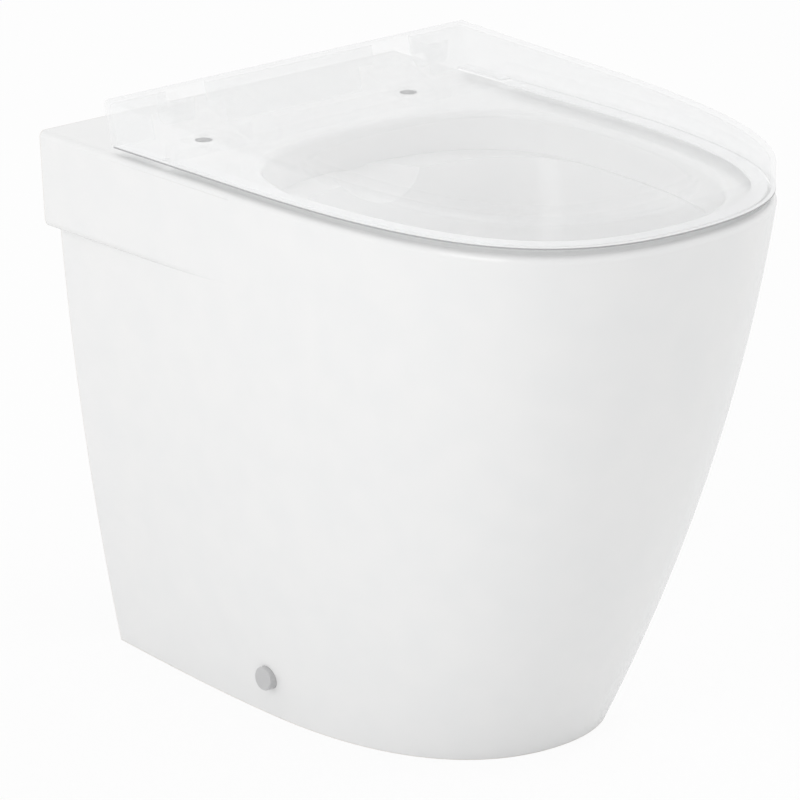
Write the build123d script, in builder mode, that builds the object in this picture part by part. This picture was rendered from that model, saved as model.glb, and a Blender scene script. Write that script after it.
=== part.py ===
"""Raised-height toilet pan that stands on the floor with its back to a wall.

The pan is vitreous china with an open back. Its skirt, bowl, inlet and trap are separate
solids that meet face to face. A seat and a wrap-over cover share one hinge line. All lengths are millimetres. X runs across the pan,
+Y points to the wall, +Z is up, and the origin lies on the floor under the middle.
"""

from build123d import *
from math import cos, radians, sin, tan
import os

os.makedirs("parts", exist_ok=True)

# China pan, outside
pan_width = 360
pan_length = 530
pan_height = 430
wall_side_y = pan_length / 2
nose_y = -pan_length / 2
widest_y = wall_side_y - 238
foot_widest_y = widest_y + 30
foot_side_inset = 57.5
foot_nose_inset = 139
rear_pinch = 13
rim_fullness = 0.73
foot_fullness = 0.64
skirt_wall = 12
deck_thickness = 14
rim_outer_round = 5
rim_inner_round = 5
band_height = 77
band_draft = 4
band_round = 7

# China pan, bowl
rim_width = 36
bowl_half = pan_width / 2 - rim_width - 0.5
bowl_mid_y = widest_y - 37
bowl_back_y = wall_side_y - 149.5
bowl_front_y = nose_y + rim_width
bowl_fullness = 0.70
ledge_depth = 30
ledge_draft = 3
china_wall = 11
shelf_radius = 65
shelf_slope = 19.5
shelf_length = 80

# China pan, waterways
trap_bore = 68
trap_wall = 8
trap_bend = 46
sump_level = 115
sump_y = wall_side_y - 285
sump_half = 31
trap_rise = 68
weir_y = sump_y + 132
weir_level = pan_height - 155
outlet_bend_y = sump_y + 202
outlet_level = 185
outlet_outer = 102
outlet_inner = 84
outlet_length = 58
waterway_setback = 9
inlet_bore = 56
inlet_wall = 10
inlet_level = pan_height - 87
chamber_width = 120
chamber_back_y = wall_side_y - 133
chamber_low = inlet_level - 25
chamber_high = inlet_level + 19
slot_width = 90
slot_low = inlet_level - 8
slot_high = inlet_level + 9
slot_front_y = wall_side_y - 217

# Seat, cover and their common hinge line
hinge_hole_spacing = 205
hinge_hole_y = wall_side_y - 101.7
hinge_hole_bore = 14
hinge_axis_y = hinge_hole_y + 2.7
hinge_axis_rise = 27
hinge_axis_z = pan_height + hinge_axis_rise
seat_gap = 5
ring_thickness = 16.5
ring_inset = 7
ring_back_y = hinge_axis_y - 44
ring_hole_half = bowl_half - 24.5
ring_hole_mid_y = bowl_mid_y - 8
ring_hole_back_y = bowl_back_y - 39.5
ring_hole_front_y = bowl_front_y + 25
ring_lip = 5
ring_recess = 8
ring_outer_round = 4
ring_inner_round = 7
cover_inset = 1.5
cover_wall = 3.5
cover_top_above_axis = 14
cover_slope = 1.9
cover_back_low = 13
cover_back_high = 22
cover_round = 4.5
cover_inner_round = 2.5
back_wall_drop = 4
cutout_overrun = 0.5
hinge_cutout = 40
lug_cutout_margin = 2

# Hinge hardware
bracket_width = 24
bracket_eye = 7.5
bracket_post = 8
bracket_post_gap = 26.5
bracket_round = 5
plate_width = 34
plate_thickness = 4
plate_back = 8
plate_front_margin = 2
plate_corner = 6
gasket_thickness = 1
lug_width = 21
lug_gap = 1.5
lug_eye = 9.5
spindle_radius = 4
running_clearance = 0.05
fixed_clearance = 0.02
damper_radius = 6.5
damper_length = 19
damper_end_wall = 1.5
spindle_end_gap = 4
stud_radius = 4
stud_head_radius = 6
stud_head_height = 3.5
stud_end_below_deck = 34
spindle_chamfer = 0.8
bush_flange_radius = 11
bush_flange_height = 5
bush_height_in_hole = 8
bush_taper = 1
hole_side_clearance = 0.2
washer_radius = 12
washer_thickness = 2
wing_hub_radius = 7
wing_hub_height = 11
wing_span = 34
wing_thickness = 3

# Rubber pads
pad_radius = 6
pad_edge = 0.8
pad_from_edge = 20
seat_pad_rear_y = hinge_axis_y - 106
seat_pad_front_share = 0.5
cover_pad_share = 0.62
cover_pad_from_edge = 24

# Side fixings near the floor
fixing_y = wall_side_y - 205
fixing_z = 34
fixing_seat_depth = 2.5
sleeve_radius = 6
sleeve_flange_radius = 7.5
sleeve_flange = 2
screw_radius = 3
screw_head_radius = 5.5
screw_head_height = 3.5
screw_end_overrun = 5
cap_radius = 9.25
cap_length = 8.5
cap_crown = 1.4
cap_edge_round = 1.2
cap_fit = 0.1
floor_bracket_gap = 9
floor_bracket_thickness = 5
floor_bracket_height = 54
floor_bracket_length = 50
floor_bracket_foot = 46
floor_hole_radius = 3.5


def depth_share(level):
    """Share of the height that lies above a level: 0 at the rim, 1 at the floor."""
    return (pan_height - level) / pan_height


def flare(level):
    """How far the body has drawn in at a level: 0 at the rim, 1 at the floor."""
    share = depth_share(level)
    return 0.4 * share + 0.6 * share**2


def between(rim_value, foot_value, level):
    """A value that goes evenly from the rim to the floor."""
    return rim_value + (foot_value - rim_value) * depth_share(level)


def nose_points(half, middle_y, front_y, fullness):
    """Control points of a quarter curve from the widest place to the nose."""
    return (
        (half, middle_y),
        (half, middle_y + fullness * (front_y - middle_y)),
        (fullness * half, front_y),
        (0, front_y),
    )


def body_half(level, inset=0):
    """Greatest half width of the body at a level."""
    return pan_width / 2 - foot_side_inset * flare(level) - inset


def body_section(level, inset=0, back_y=wall_side_y):
    """Level section of the skirted body, drawn in by inset on its sides and nose."""
    half = body_half(level, inset)
    middle_y = between(widest_y, foot_widest_y, level)
    front_y = nose_y + foot_nose_inset * flare(level) + inset
    fullness = between(rim_fullness, foot_fullness, level)
    reach = back_y - middle_y
    with BuildSketch(Plane.XY.offset(level)) as section:
        with BuildLine():
            Bezier(
                (half - rear_pinch, back_y),
                (half - rear_pinch / 2, back_y - reach / 3),
                (half, middle_y + reach / 3),
                (half, middle_y),
            )
            Bezier(*nose_points(half, middle_y, front_y, fullness))
            mirror(about=Plane.YZ)
            Line((half - rear_pinch, back_y), (rear_pinch - half, back_y))
        make_face()
    return section.sketch


def rim_outline(level, inset, back_y):
    """Outline of the rim drawn in by inset, with straight sides back to back_y."""
    half = pan_width / 2 - inset
    with BuildSketch(Plane.XY.offset(level)) as outline:
        with BuildLine():
            Line((half, back_y), (half, widest_y))
            Bezier(*nose_points(half, widest_y, nose_y + inset, rim_fullness))
            mirror(about=Plane.YZ)
            Line((half, back_y), (-half, back_y))
        make_face()
    return outline.sketch


def oval(level, half, middle_y, back_y, front_y, grow=0):
    """Level oval with a rounder back than front, for the bowl and the seat's hole."""
    with BuildSketch(Plane.XY.offset(level)) as section:
        with BuildLine():
            Bezier(*nose_points(half + grow, middle_y, front_y - grow, bowl_fullness))
            Bezier(*nose_points(half + grow, middle_y, back_y + grow, bowl_fullness))
            mirror(about=Plane.YZ)
        make_face()
    return section.sketch


# Level, share of the half width, middle and back from the sump, share of the reach forward
ledge_level = pan_height - ledge_depth
sump_front_y = sump_y - 22
bowl_steps = (
    (ledge_level, 0.958, 8, 100, 0.963),
    (ledge_level - 55, 0.85, -10, 72, 0.845),
    (ledge_level - 130, 0.641, -10, 60, 0.578),
    (ledge_level - 210, 0.404, 8, 53, 0.225),
)
# Level, half width, middle, back and front of the bowl below its ledge
bowl_sections = [
    (level, half_share * bowl_half, sump_y + middle, sump_y + back,
     sump_front_y + reach_share * (bowl_front_y - sump_front_y))
    for level, half_share, middle, back, reach_share in bowl_steps
] + [(sump_level - 10, sump_half, sump_y + 12, sump_y + 48, sump_front_y)]
body_levels = [pan_height * n / 6 for n in range(6, -1, -1)]
deck_underside = pan_height - deck_thickness
cavity_levels = [deck_underside * n / 5 for n in range(5, 0, -1)] + [-1]
waterway_back_y = wall_side_y - waterway_setback
band_low = pan_height - band_height
sides = (-1, 1)


def trap_route():
    """Middle line of the trap, from the sump over the weir to the outlet."""
    with BuildLine(Plane.YZ) as route:
        FilletPolyline(
            (sump_y, sump_level),
            (sump_y + trap_rise, sump_level),
            (weir_y, weir_level),
            (outlet_bend_y, outlet_level),
            (waterway_back_y - trap_wall, outlet_level),
            radius=trap_bend,
        )
    return route.line


def trap_tube(radius):
    """Round tube of the given radius along the trap's middle line."""
    route = trap_route()
    with BuildPart() as tube:
        with BuildSketch(Plane(origin=route @ 0, z_dir=route % 0)):
            Circle(radius)
        sweep(path=route)
        with Locations(Location(route @ 0)):
            Sphere(radius)
    return tube.part


def tube_along_y(radius, start_y, end_y, level):
    """Round bar along Y at a level, on the pan's middle plane."""
    with BuildPart() as bar:
        with BuildSketch(Plane.XZ.offset(-start_y)):
            with Locations((0, level)):
                Circle(radius)
        extrude(amount=start_y - end_y)
    return bar.part


def block(x_range, y_range, z_range):
    """Box between two corners."""
    middle = tuple((low + high) / 2 for low, high in (x_range, y_range, z_range))
    size = tuple(high - low for low, high in (x_range, y_range, z_range))
    with BuildPart() as solid:
        with Locations(middle):
            Box(*size)
    return solid.part


def shelf_trough():
    """Sloping trough behind the sump, cut only inside the bowl's opening."""
    lean = radians(shelf_slope)
    floor_plane = Plane(
        origin=(0, bowl_back_y + 3, ledge_level),
        x_dir=(1, 0, 0),
        z_dir=(0, -cos(lean), -sin(lean)),
    )
    with BuildPart() as trough:
        with BuildSketch(floor_plane):
            with Locations((0, shelf_radius)):
                Circle(shelf_radius)
        extrude(amount=shelf_length)
        opening = oval(
            ledge_level - 60, bowl_half - ledge_draft, bowl_mid_y,
            bowl_back_y - ledge_draft, bowl_front_y + ledge_draft,
        )
        extrude(opening, amount=60, mode=Mode.INTERSECT)
    return trough.part


def bowl_hollow():
    """Everything that is open inside the bowl, from the rim to the sump."""
    with BuildPart() as hollow:
        loft([
            oval(pan_height, bowl_half, bowl_mid_y, bowl_back_y, bowl_front_y),
            oval(
                ledge_level, bowl_half - ledge_draft, bowl_mid_y,
                bowl_back_y - ledge_draft, bowl_front_y + ledge_draft,
            ),
        ])
        loft([oval(*section) for section in bowl_sections])
        add(shelf_trough())
    return hollow.part


def bowl_shell():
    """Outside of the china round the bowl, below its ledge."""
    low = bowl_sections[-1]
    foot = (low[0] - china_wall,) + low[1:]
    with BuildPart() as shell:
        extrude(
            oval(
                ledge_level - china_wall, bowl_half, bowl_mid_y, bowl_back_y,
                bowl_front_y, grow=china_wall,
            ),
            amount=china_wall,
        )
        loft([oval(*section, grow=china_wall) for section in bowl_sections[:-1]]
             + [oval(*foot, grow=china_wall)])
    return shell.part


def inlet_form():
    """Outside of the flush chamber and its pipe."""
    with BuildPart() as form:
        add(block((-chamber_width / 2 - inlet_wall, chamber_width / 2 + inlet_wall),
                  (slot_front_y, chamber_back_y + inlet_wall),
                  (chamber_low - inlet_wall, ledge_level)))
        add(tube_along_y(inlet_bore / 2 + inlet_wall, chamber_back_y, waterway_back_y,
                         inlet_level))
    return form.part


def waterway_hollows():
    """The bowl, the flush chamber with its slot and pipe, the trap and the outlet."""
    with BuildPart() as hollows:
        add(bowl_hollow())
        add(trap_tube(trap_bore / 2))
        add(tube_along_y(outlet_inner / 2, waterway_back_y - outlet_length + trap_wall,
                         waterway_back_y + 1, outlet_level))
        add(block((-chamber_width / 2, chamber_width / 2),
                  (slot_front_y + 2 * china_wall, chamber_back_y),
                  (chamber_low, chamber_high)))
        add(block((-slot_width / 2, slot_width / 2),
                  (slot_front_y - china_wall, slot_front_y + 2 * china_wall + 1),
                  (slot_low, slot_high)))
        add(tube_along_y(inlet_bore / 2, chamber_back_y - 1, waterway_back_y + 1,
                         inlet_level))
    return hollows.part


# Where the hinge pieces lie along the hinge line on the right-hand side
hinge_x = hinge_hole_spacing / 2
bracket_inner_x = hinge_x - bracket_width / 2
bracket_outer_x = hinge_x + bracket_width / 2
inner_lug = (bracket_inner_x - lug_gap - lug_width, bracket_inner_x - lug_gap)
outer_lug = (bracket_outer_x + lug_gap, bracket_outer_x + lug_gap + lug_width)
seat_damper_span = (-inner_lug[1], damper_length - inner_lug[1])
cover_damper_span = (outer_lug[0], outer_lug[0] + damper_length)
plain_bore = spindle_radius + running_clearance
damper_bore = damper_radius + fixed_clearance

# Heights of the closed seat and cover
ring_low = pan_height + seat_gap
ring_top = ring_low + ring_thickness
cover_low = pan_height + seat_gap

# Side view of the fixed bracket: a post in front of the hinge line and an arm back to it
plate_low = pan_height + gasket_thickness
plate_top = plate_low + plate_thickness
post_back_y = hinge_axis_y - bracket_post_gap
post_front_y = post_back_y - bracket_post
plate_front_y = post_front_y - plate_front_margin
plate_back_y = hinge_axis_y + plate_back
bracket_outline = (
    (post_front_y, plate_low), (post_back_y, plate_low),
    (post_back_y, hinge_axis_z - bracket_eye), (hinge_axis_y, hinge_axis_z - bracket_eye),
    (hinge_axis_y, hinge_axis_z + bracket_eye), (post_front_y, hinge_axis_z + bracket_eye),
)

# Side views of the straps that carry the seat ring and the cover
strap_root_y = ring_back_y - 2 * ring_lip
ring_lug_outline = (
    (strap_root_y, ring_low), (ring_back_y, ring_low),
    (hinge_axis_y, hinge_axis_z - lug_eye), (hinge_axis_y, hinge_axis_z + lug_eye),
    (ring_back_y, ring_top), (strap_root_y, ring_top),
)
cover_lug_top = hinge_axis_z + cover_top_above_axis - cover_wall / 2
cover_lug_outline = (
    (hinge_axis_y - lug_eye, hinge_axis_z), (hinge_axis_y + lug_eye, hinge_axis_z),
    (hinge_axis_y + lug_eye, cover_lug_top), (hinge_axis_y - lug_eye, cover_lug_top),
)


# Heights of the fixings under the deck
stud_foot = deck_underside - stud_end_below_deck
stud_bore = stud_radius + fixed_clearance
bush_low = deck_underside - bush_flange_height
wing_low = bush_low - washer_thickness - wing_hub_height
hinge_hole_axis = Axis((hinge_x, hinge_hole_y, 0), (0, 0, 1))

# Side fixings
fixing_seat_x = body_half(fixing_z) - fixing_seat_depth
screw_head_x = fixing_seat_x + sleeve_flange
bracket_face_x = body_half(fixing_z) - skirt_wall - floor_bracket_gap
floor_hole_x = bracket_face_x - floor_bracket_foot / 2


def ordered(first, second):
    """Two numbers, the lower one first."""
    return (min(first, second), max(first, second))


def flipped(x_range):
    """The same stretch of X on the other side of the pan."""
    return (-x_range[1], -x_range[0])


def side_profile(low, inset):
    """Side view of the cover, drawn in by inset, as a face on the middle plane."""
    slope = tan(radians(cover_slope))
    top_at_axis = hinge_axis_z + cover_top_above_axis - inset
    back_low = hinge_axis_y + cover_back_low - inset
    back_high = hinge_axis_y + cover_back_high - inset
    with BuildSketch(Plane.YZ) as profile:
        with BuildLine():
            Polyline(
                (nose_y, low), (back_low, low),
                (back_high, top_at_axis + slope * (back_high - hinge_axis_y)),
                (nose_y, top_at_axis + slope * (nose_y - hinge_axis_y)), close=True,
            )
        make_face()
    return profile.sketch


def cover_form(inset, top_round):
    """Solid shape of the closed cover, drawn in by inset."""
    back_y = hinge_axis_y + 2 * cover_back_high
    with BuildPart() as form:
        extrude(rim_outline(cover_low, cover_inset + inset, back_y),
                amount=hinge_axis_rise + 2 * cover_top_above_axis)
        extrude(side_profile(cover_low, inset), amount=pan_width, both=True,
                mode=Mode.INTERSECT)
        fillet(form.faces().sort_by(Axis.Z)[-1].edges(), radius=top_round)
    return form.part


def hinge_bar(outline, eye, x_range):
    """Bar across the pan whose side view is an outline with an eye on the hinge line."""
    with BuildPart() as bar:
        with BuildSketch(Plane.YZ.offset(x_range[0])):
            with BuildLine():
                Polyline(*outline, close=True)
            make_face()
            with Locations((hinge_axis_y, hinge_axis_z)):
                Circle(eye)
        extrude(amount=x_range[1] - x_range[0])
    return bar.part


def bar_along_x(radius, x_range, y=hinge_axis_y, z=hinge_axis_z):
    """Round bar across the pan, on the hinge line unless placed elsewhere."""
    with BuildPart() as bar:
        with BuildSketch(Plane.YZ.offset(x_range[0])):
            with Locations((y, z)):
                Circle(radius)
        extrude(amount=x_range[1] - x_range[0])
    return bar.part


def rim_point(share, distance):
    """Point inside the rim's outline, a distance in from a share of the nose curve."""
    curve = Bezier(*nose_points(pan_width / 2, widest_y, nose_y, rim_fullness))
    place, heading = curve @ share, curve % share
    return place + Vector(heading.Y, -heading.X) * distance


# Pan: skirt with deck, bowl, flush inlet and trap, which meet where nobody sees the joint
with BuildPart() as deck_band:
    rim_half = pan_width / 2
    band_low_half = rim_half - band_draft
    body_low_half = body_half(band_low)
    with BuildSketch(Plane.XY.offset(pan_height)):
        with BuildLine():
            Polyline((rim_half, wall_side_y), (rim_half, widest_y), (-rim_half, widest_y),
                     (-rim_half, wall_side_y), close=True)
        make_face()
    with BuildSketch(Plane.XY.offset(band_low)):
        with BuildLine():
            Polyline((band_low_half, wall_side_y), (body_low_half, widest_y),
                     (-body_low_half, widest_y), (-band_low_half, wall_side_y), close=True)
        make_face()
    loft(ruled=True)
    band_underside = deck_band.faces().sort_by(Axis.Z)[0]
    fillet(band_underside.edges().filter_by(Axis.X, reverse=True), radius=band_round)

with BuildPart() as pan_body:
    loft([body_section(level) for level in body_levels])
    add(deck_band.part)
    rim_edges = pan_body.faces().sort_by(Axis.Z)[-1].edges()
    fillet(rim_edges.filter_by(lambda edge: edge.center().Y < wall_side_y - 1),
           radius=rim_outer_round)
    loft([body_section(level, skirt_wall, wall_side_y + skirt_wall)
          for level in cavity_levels], mode=Mode.SUBTRACT)
    # China round the bowl's mouth, down to its ledge
    extrude(oval(ledge_level, bowl_half, bowl_mid_y, bowl_back_y, bowl_front_y,
                 grow=china_wall), amount=ledge_depth)
    add(bowl_hollow(), mode=Mode.SUBTRACT)
    # Soft inner edge of the rim
    rim_face = pan_body.faces().filter_by(GeomType.PLANE).sort_by(Axis.Z)[-1]
    fillet(rim_face.inner_wires()[0].edges(), radius=rim_inner_round)
    # Hinge holes through the deck
    with Locations([(side * hinge_hole_spacing / 2, hinge_hole_y, pan_height)
                    for side in sides]):
        Hole(radius=hinge_hole_bore / 2, depth=deck_thickness + 1)
    # Side fixing holes, each with a flat seat on the sloping skirt
    for side in sides:
        seat_plane = Plane(origin=(side * fixing_seat_x, fixing_y, fixing_z),
                           z_dir=(side, 0, 0))
        with BuildSketch(seat_plane):
            Circle(cap_radius + hole_side_clearance)
        extrude(amount=skirt_wall, mode=Mode.SUBTRACT)
        with BuildSketch(seat_plane):
            Circle(sleeve_radius + hole_side_clearance)
        extrude(amount=-2 * skirt_wall, mode=Mode.SUBTRACT)


with BuildPart() as pan_bowl:
    add(bowl_shell())
    add(waterway_hollows(), mode=Mode.SUBTRACT)

with BuildPart() as pan_inlet:
    add(inlet_form())
    add(bowl_shell(), mode=Mode.SUBTRACT)
    add(waterway_hollows(), mode=Mode.SUBTRACT)

with BuildPart() as pan_trap:
    add(trap_tube(trap_bore / 2 + trap_wall))
    add(tube_along_y(outlet_outer / 2, waterway_back_y - outlet_length,
                     waterway_back_y, outlet_level))
    add(bowl_shell(), mode=Mode.SUBTRACT)
    add(inlet_form(), mode=Mode.SUBTRACT)
    add(waterway_hollows(), mode=Mode.SUBTRACT)


# Seat ring
ring_hole = (ring_hole_half, ring_hole_mid_y, ring_hole_back_y, ring_hole_front_y)

with BuildPart() as ring_underside:
    extrude(rim_outline(ring_low, ring_inset + ring_lip, ring_back_y - ring_lip),
            amount=ring_recess)
    extrude(oval(ring_low, *ring_hole, grow=ring_lip), amount=ring_recess,
            mode=Mode.SUBTRACT)

with BuildPart() as seat_ring:
    extrude(rim_outline(ring_low, ring_inset, ring_back_y), amount=ring_thickness)
    extrude(oval(ring_low, *ring_hole), amount=ring_thickness, mode=Mode.SUBTRACT)
    ring_face = seat_ring.faces().sort_by(Axis.Z)[-1]
    fillet(ring_face.inner_wires()[0].edges(), radius=ring_inner_round)
    ring_face = seat_ring.faces().sort_by(Axis.Z)[-1]
    fillet(ring_face.outer_wire().edges(), radius=ring_outer_round)
    add(ring_underside.part, mode=Mode.SUBTRACT)
    for lug in (inner_lug, flipped(inner_lug)):
        add(hinge_bar(ring_lug_outline, lug_eye, lug))
    add(bar_along_x(plain_bore, inner_lug), mode=Mode.SUBTRACT)
    add(bar_along_x(damper_bore, seat_damper_span), mode=Mode.SUBTRACT)


# Cover
with BuildPart() as seat_cover:
    add(cover_form(0, cover_round))
    add(cover_form(cover_wall, cover_inner_round),
        mode=Mode.SUBTRACT)
    for lug in (outer_lug, flipped(outer_lug)):
        add(hinge_bar(cover_lug_outline, lug_eye, lug))
    add(bar_along_x(plain_bore, flipped(outer_lug)), mode=Mode.SUBTRACT)
    add(bar_along_x(damper_bore, cover_damper_span), mode=Mode.SUBTRACT)
    # Clearance through the back wall for the lugs and the fixed brackets
    behind_cover = hinge_axis_y + 2 * cover_back_high
    low_cut_y = hinge_axis_y + cover_back_low - cover_wall - cutout_overrun
    high_cut_y = hinge_axis_y + lug_eye + 2 * cutout_overrun
    for side in sides:
        add(block(ordered(side * (inner_lug[0] - lug_cutout_margin),
                          side * (outer_lug[1] + lug_cutout_margin)),
                  (low_cut_y, behind_cover), (cover_low - 1, hinge_axis_z - back_wall_drop)),
            mode=Mode.SUBTRACT)
        add(block((side * hinge_x - hinge_cutout / 2, side * hinge_x + hinge_cutout / 2),
                  (high_cut_y, behind_cover),
                  (cover_low - 1, hinge_axis_z + cover_top_above_axis - cover_wall)),
            mode=Mode.SUBTRACT)


# Rubber pads under the seat ring and under the cover
with BuildPart() as seat_buffers:
    pad_x = pan_width / 2 - pad_from_edge
    nose_pad = rim_point(seat_pad_front_share, pad_from_edge)
    with BuildSketch(Plane.XY.offset(pan_height)):
        with Locations((pad_x, seat_pad_rear_y), (-pad_x, seat_pad_rear_y),
                       (nose_pad.X, nose_pad.Y), (-nose_pad.X, nose_pad.Y)):
            Circle(pad_radius)
    extrude(amount=seat_gap + ring_recess)
    chamfer(seat_buffers.edges().group_by(Axis.Z)[0], length=pad_edge)

with BuildPart() as cover_buffers:
    nose_pad = rim_point(cover_pad_share, cover_pad_from_edge)
    with BuildSketch(Plane.XY.offset(ring_top)):
        with Locations((nose_pad.X, nose_pad.Y), (-nose_pad.X, nose_pad.Y)):
            Circle(pad_radius)
    extrude(amount=seat_gap + ring_thickness)
    add(cover_form(cover_wall, cover_inner_round),
        mode=Mode.INTERSECT)


# Soft-close dampers, one in the seat's left lug and one in the cover's right lug
with BuildPart() as seat_damper:
    add(bar_along_x(damper_radius, seat_damper_span))
    add(bar_along_x(plain_bore, (seat_damper_span[0], seat_damper_span[1]
                                 - damper_end_wall)), mode=Mode.SUBTRACT)

with BuildPart() as cover_damper:
    add(bar_along_x(damper_radius, cover_damper_span))
    add(bar_along_x(plain_bore, (cover_damper_span[0], cover_damper_span[1]
                                 - damper_end_wall)), mode=Mode.SUBTRACT)


# Hinge hardware on the right-hand side
with BuildPart() as hinge_bracket:
    with BuildSketch(Plane.XY.offset(plate_low)):
        with Locations((hinge_x, (plate_front_y + plate_back_y) / 2)):
            RectangleRounded(plate_width, plate_back_y - plate_front_y, plate_corner)
    extrude(amount=plate_thickness)
    add(hinge_bar(bracket_outline, bracket_eye, (bracket_inner_x, bracket_outer_x)))
    arm_edges = hinge_bracket.edges().filter_by(Axis.X).sort_by(Axis.Z)
    fillet(arm_edges.filter_by(
        lambda edge: abs(edge.center().Y - post_front_y) < 0.1)[-1], radius=bracket_round)
    add(bar_along_x(spindle_radius + fixed_clearance,
                    (bracket_inner_x, bracket_outer_x)), mode=Mode.SUBTRACT)
    with Locations((hinge_x, hinge_hole_y, plate_top)):
        Hole(radius=stud_bore, depth=plate_thickness + 1)

with BuildPart() as hinge_gasket:
    with BuildSketch(Plane.XY.offset(pan_height)):
        with Locations((hinge_x, (plate_front_y + plate_back_y) / 2)):
            RectangleRounded(plate_width, plate_back_y - plate_front_y, plate_corner)
        with Locations((hinge_x, hinge_hole_y)):
            Circle(stud_bore, mode=Mode.SUBTRACT)
    extrude(amount=gasket_thickness)

with BuildPart() as hinge_spindle:
    add(bar_along_x(spindle_radius, (inner_lug[0] + spindle_end_gap,
                                     outer_lug[1] - spindle_end_gap)))
    chamfer(hinge_spindle.edges(), length=spindle_chamfer)

with BuildPart() as hinge_stud:
    with BuildSketch(Plane.XY.offset(stud_foot)):
        with Locations((hinge_x, hinge_hole_y)):
            Circle(stud_radius)
    extrude(amount=plate_top - stud_foot)
    with BuildSketch(Plane.XY.offset(plate_top)):
        with Locations((hinge_x, hinge_hole_y)):
            Circle(stud_head_radius)
    extrude(amount=stud_head_height)
    chamfer(hinge_stud.edges().sort_by(Axis.Z)[0], length=spindle_chamfer)
    fillet(hinge_stud.edges().sort_by(Axis.Z)[-1], radius=stud_head_height / 2)

with BuildPart() as cone_bush:
    hole_fit = hinge_hole_bore / 2 - hole_side_clearance
    with BuildSketch(Plane.XZ.offset(-hinge_hole_y)):
        with BuildLine():
            Polyline(
                (hinge_x + stud_bore, bush_low),
                (hinge_x + bush_flange_radius, bush_low),
                (hinge_x + bush_flange_radius, deck_underside),
                (hinge_x + hole_fit, deck_underside),
                (hinge_x + hole_fit - bush_taper, deck_underside + bush_height_in_hole),
                (hinge_x + stud_bore, deck_underside + bush_height_in_hole),
                close=True,
            )
        make_face()
    revolve(axis=hinge_hole_axis)

with BuildPart() as hinge_washer:
    with BuildSketch(Plane.XY.offset(bush_low - washer_thickness)):
        with Locations((hinge_x, hinge_hole_y)):
            Circle(washer_radius)
            Circle(stud_bore, mode=Mode.SUBTRACT)
    extrude(amount=washer_thickness)

with BuildPart() as wing_nut:
    with BuildSketch(Plane.XY.offset(wing_low)):
        with Locations((hinge_x, hinge_hole_y)):
            Circle(wing_hub_radius)
    extrude(amount=wing_hub_height)
    with BuildSketch(Plane.XZ.offset(-hinge_hole_y)):
        with Locations((hinge_x, wing_low + wing_hub_height / 2)):
            SlotOverall(wing_span, wing_hub_height)
    extrude(amount=wing_thickness / 2, both=True)
    with Locations((hinge_x, hinge_hole_y, wing_low + wing_hub_height)):
        Hole(radius=stud_bore, depth=wing_hub_height + 1)


# Side fixing on the right-hand side: floor bracket, screw, sleeve and cap
with BuildPart() as side_sleeve:
    add(bar_along_x(sleeve_radius, (fixing_seat_x - skirt_wall, fixing_seat_x),
                    fixing_y, fixing_z))
    add(bar_along_x(sleeve_flange_radius, (fixing_seat_x, fixing_seat_x + sleeve_flange),
                    fixing_y, fixing_z))
    add(bar_along_x(screw_radius + running_clearance,
                    (fixing_seat_x - 2 * skirt_wall, fixing_seat_x + 2 * skirt_wall),
                    fixing_y, fixing_z), mode=Mode.SUBTRACT)

with BuildPart() as side_screw:
    add(bar_along_x(screw_radius, (bracket_face_x - floor_bracket_thickness
                                   - screw_end_overrun, screw_head_x),
                    fixing_y, fixing_z))
    add(bar_along_x(screw_head_radius, (screw_head_x, screw_head_x + screw_head_height),
                    fixing_y, fixing_z))
    fillet(side_screw.edges().sort_by(Axis.X)[-1], radius=screw_head_height / 2)

with BuildPart() as side_cap:
    add(bar_along_x(cap_radius, (fixing_seat_x, fixing_seat_x + cap_length),
                    fixing_y, fixing_z))
    fillet(side_cap.edges().sort_by(Axis.X)[-1], radius=cap_edge_round)
    add(bar_along_x(sleeve_flange_radius + cap_fit,
                    (fixing_seat_x, fixing_seat_x + cap_length - cap_crown),
                    fixing_y, fixing_z), mode=Mode.SUBTRACT)

with BuildPart() as floor_bracket:
    bracket_y = (fixing_y - floor_bracket_length / 2, fixing_y + floor_bracket_length / 2)
    foot_x = (bracket_face_x - floor_bracket_foot, bracket_face_x)
    add(block(foot_x, bracket_y, (0, floor_bracket_thickness)))
    add(block((bracket_face_x - floor_bracket_thickness, bracket_face_x), bracket_y,
              (0, floor_bracket_height)))
    inner_corner = floor_bracket.edges().filter_by(Axis.Y).filter_by(
        lambda edge: abs(edge.center().X - bracket_face_x + floor_bracket_thickness) < 0.1
        and abs(edge.center().Z - floor_bracket_thickness) < 0.1)
    fillet(inner_corner, radius=floor_bracket_thickness)
    upper_corners = floor_bracket.edges().filter_by(Axis.X).group_by(Axis.Z)[-1]
    fillet(upper_corners, radius=floor_bracket_height / 4)
    add(bar_along_x(screw_radius + fixed_clearance,
                    (bracket_face_x - 2 * floor_bracket_thickness, bracket_face_x + 1),
                    fixing_y, fixing_z), mode=Mode.SUBTRACT)
    with Locations((floor_hole_x, fixing_y, floor_bracket_thickness)):
        Hole(radius=floor_hole_radius, depth=2 * floor_bracket_thickness)


single_pieces = {
    "pan_body": pan_body,
    "pan_bowl": pan_bowl,
    "pan_inlet": pan_inlet,
    "pan_trap": pan_trap,
    "seat_ring": seat_ring,
    "seat_buffers": seat_buffers,
    "seat_damper": seat_damper,
    "seat_cover": seat_cover,
    "cover_buffers": cover_buffers,
    "cover_damper": cover_damper,
}
paired_pieces = {
    "hinge_bracket": hinge_bracket,
    "hinge_gasket": hinge_gasket,
    "hinge_spindle": hinge_spindle,
    "hinge_stud": hinge_stud,
    "cone_bush": cone_bush,
    "hinge_washer": hinge_washer,
    "wing_nut": wing_nut,
    "side_sleeve": side_sleeve,
    "side_screw": side_screw,
    "side_cap": side_cap,
    "floor_bracket": floor_bracket,
}

for name, piece in single_pieces.items():
    piece.part.label = name
    export_step(piece.part, f"parts/{name}.step")

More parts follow.
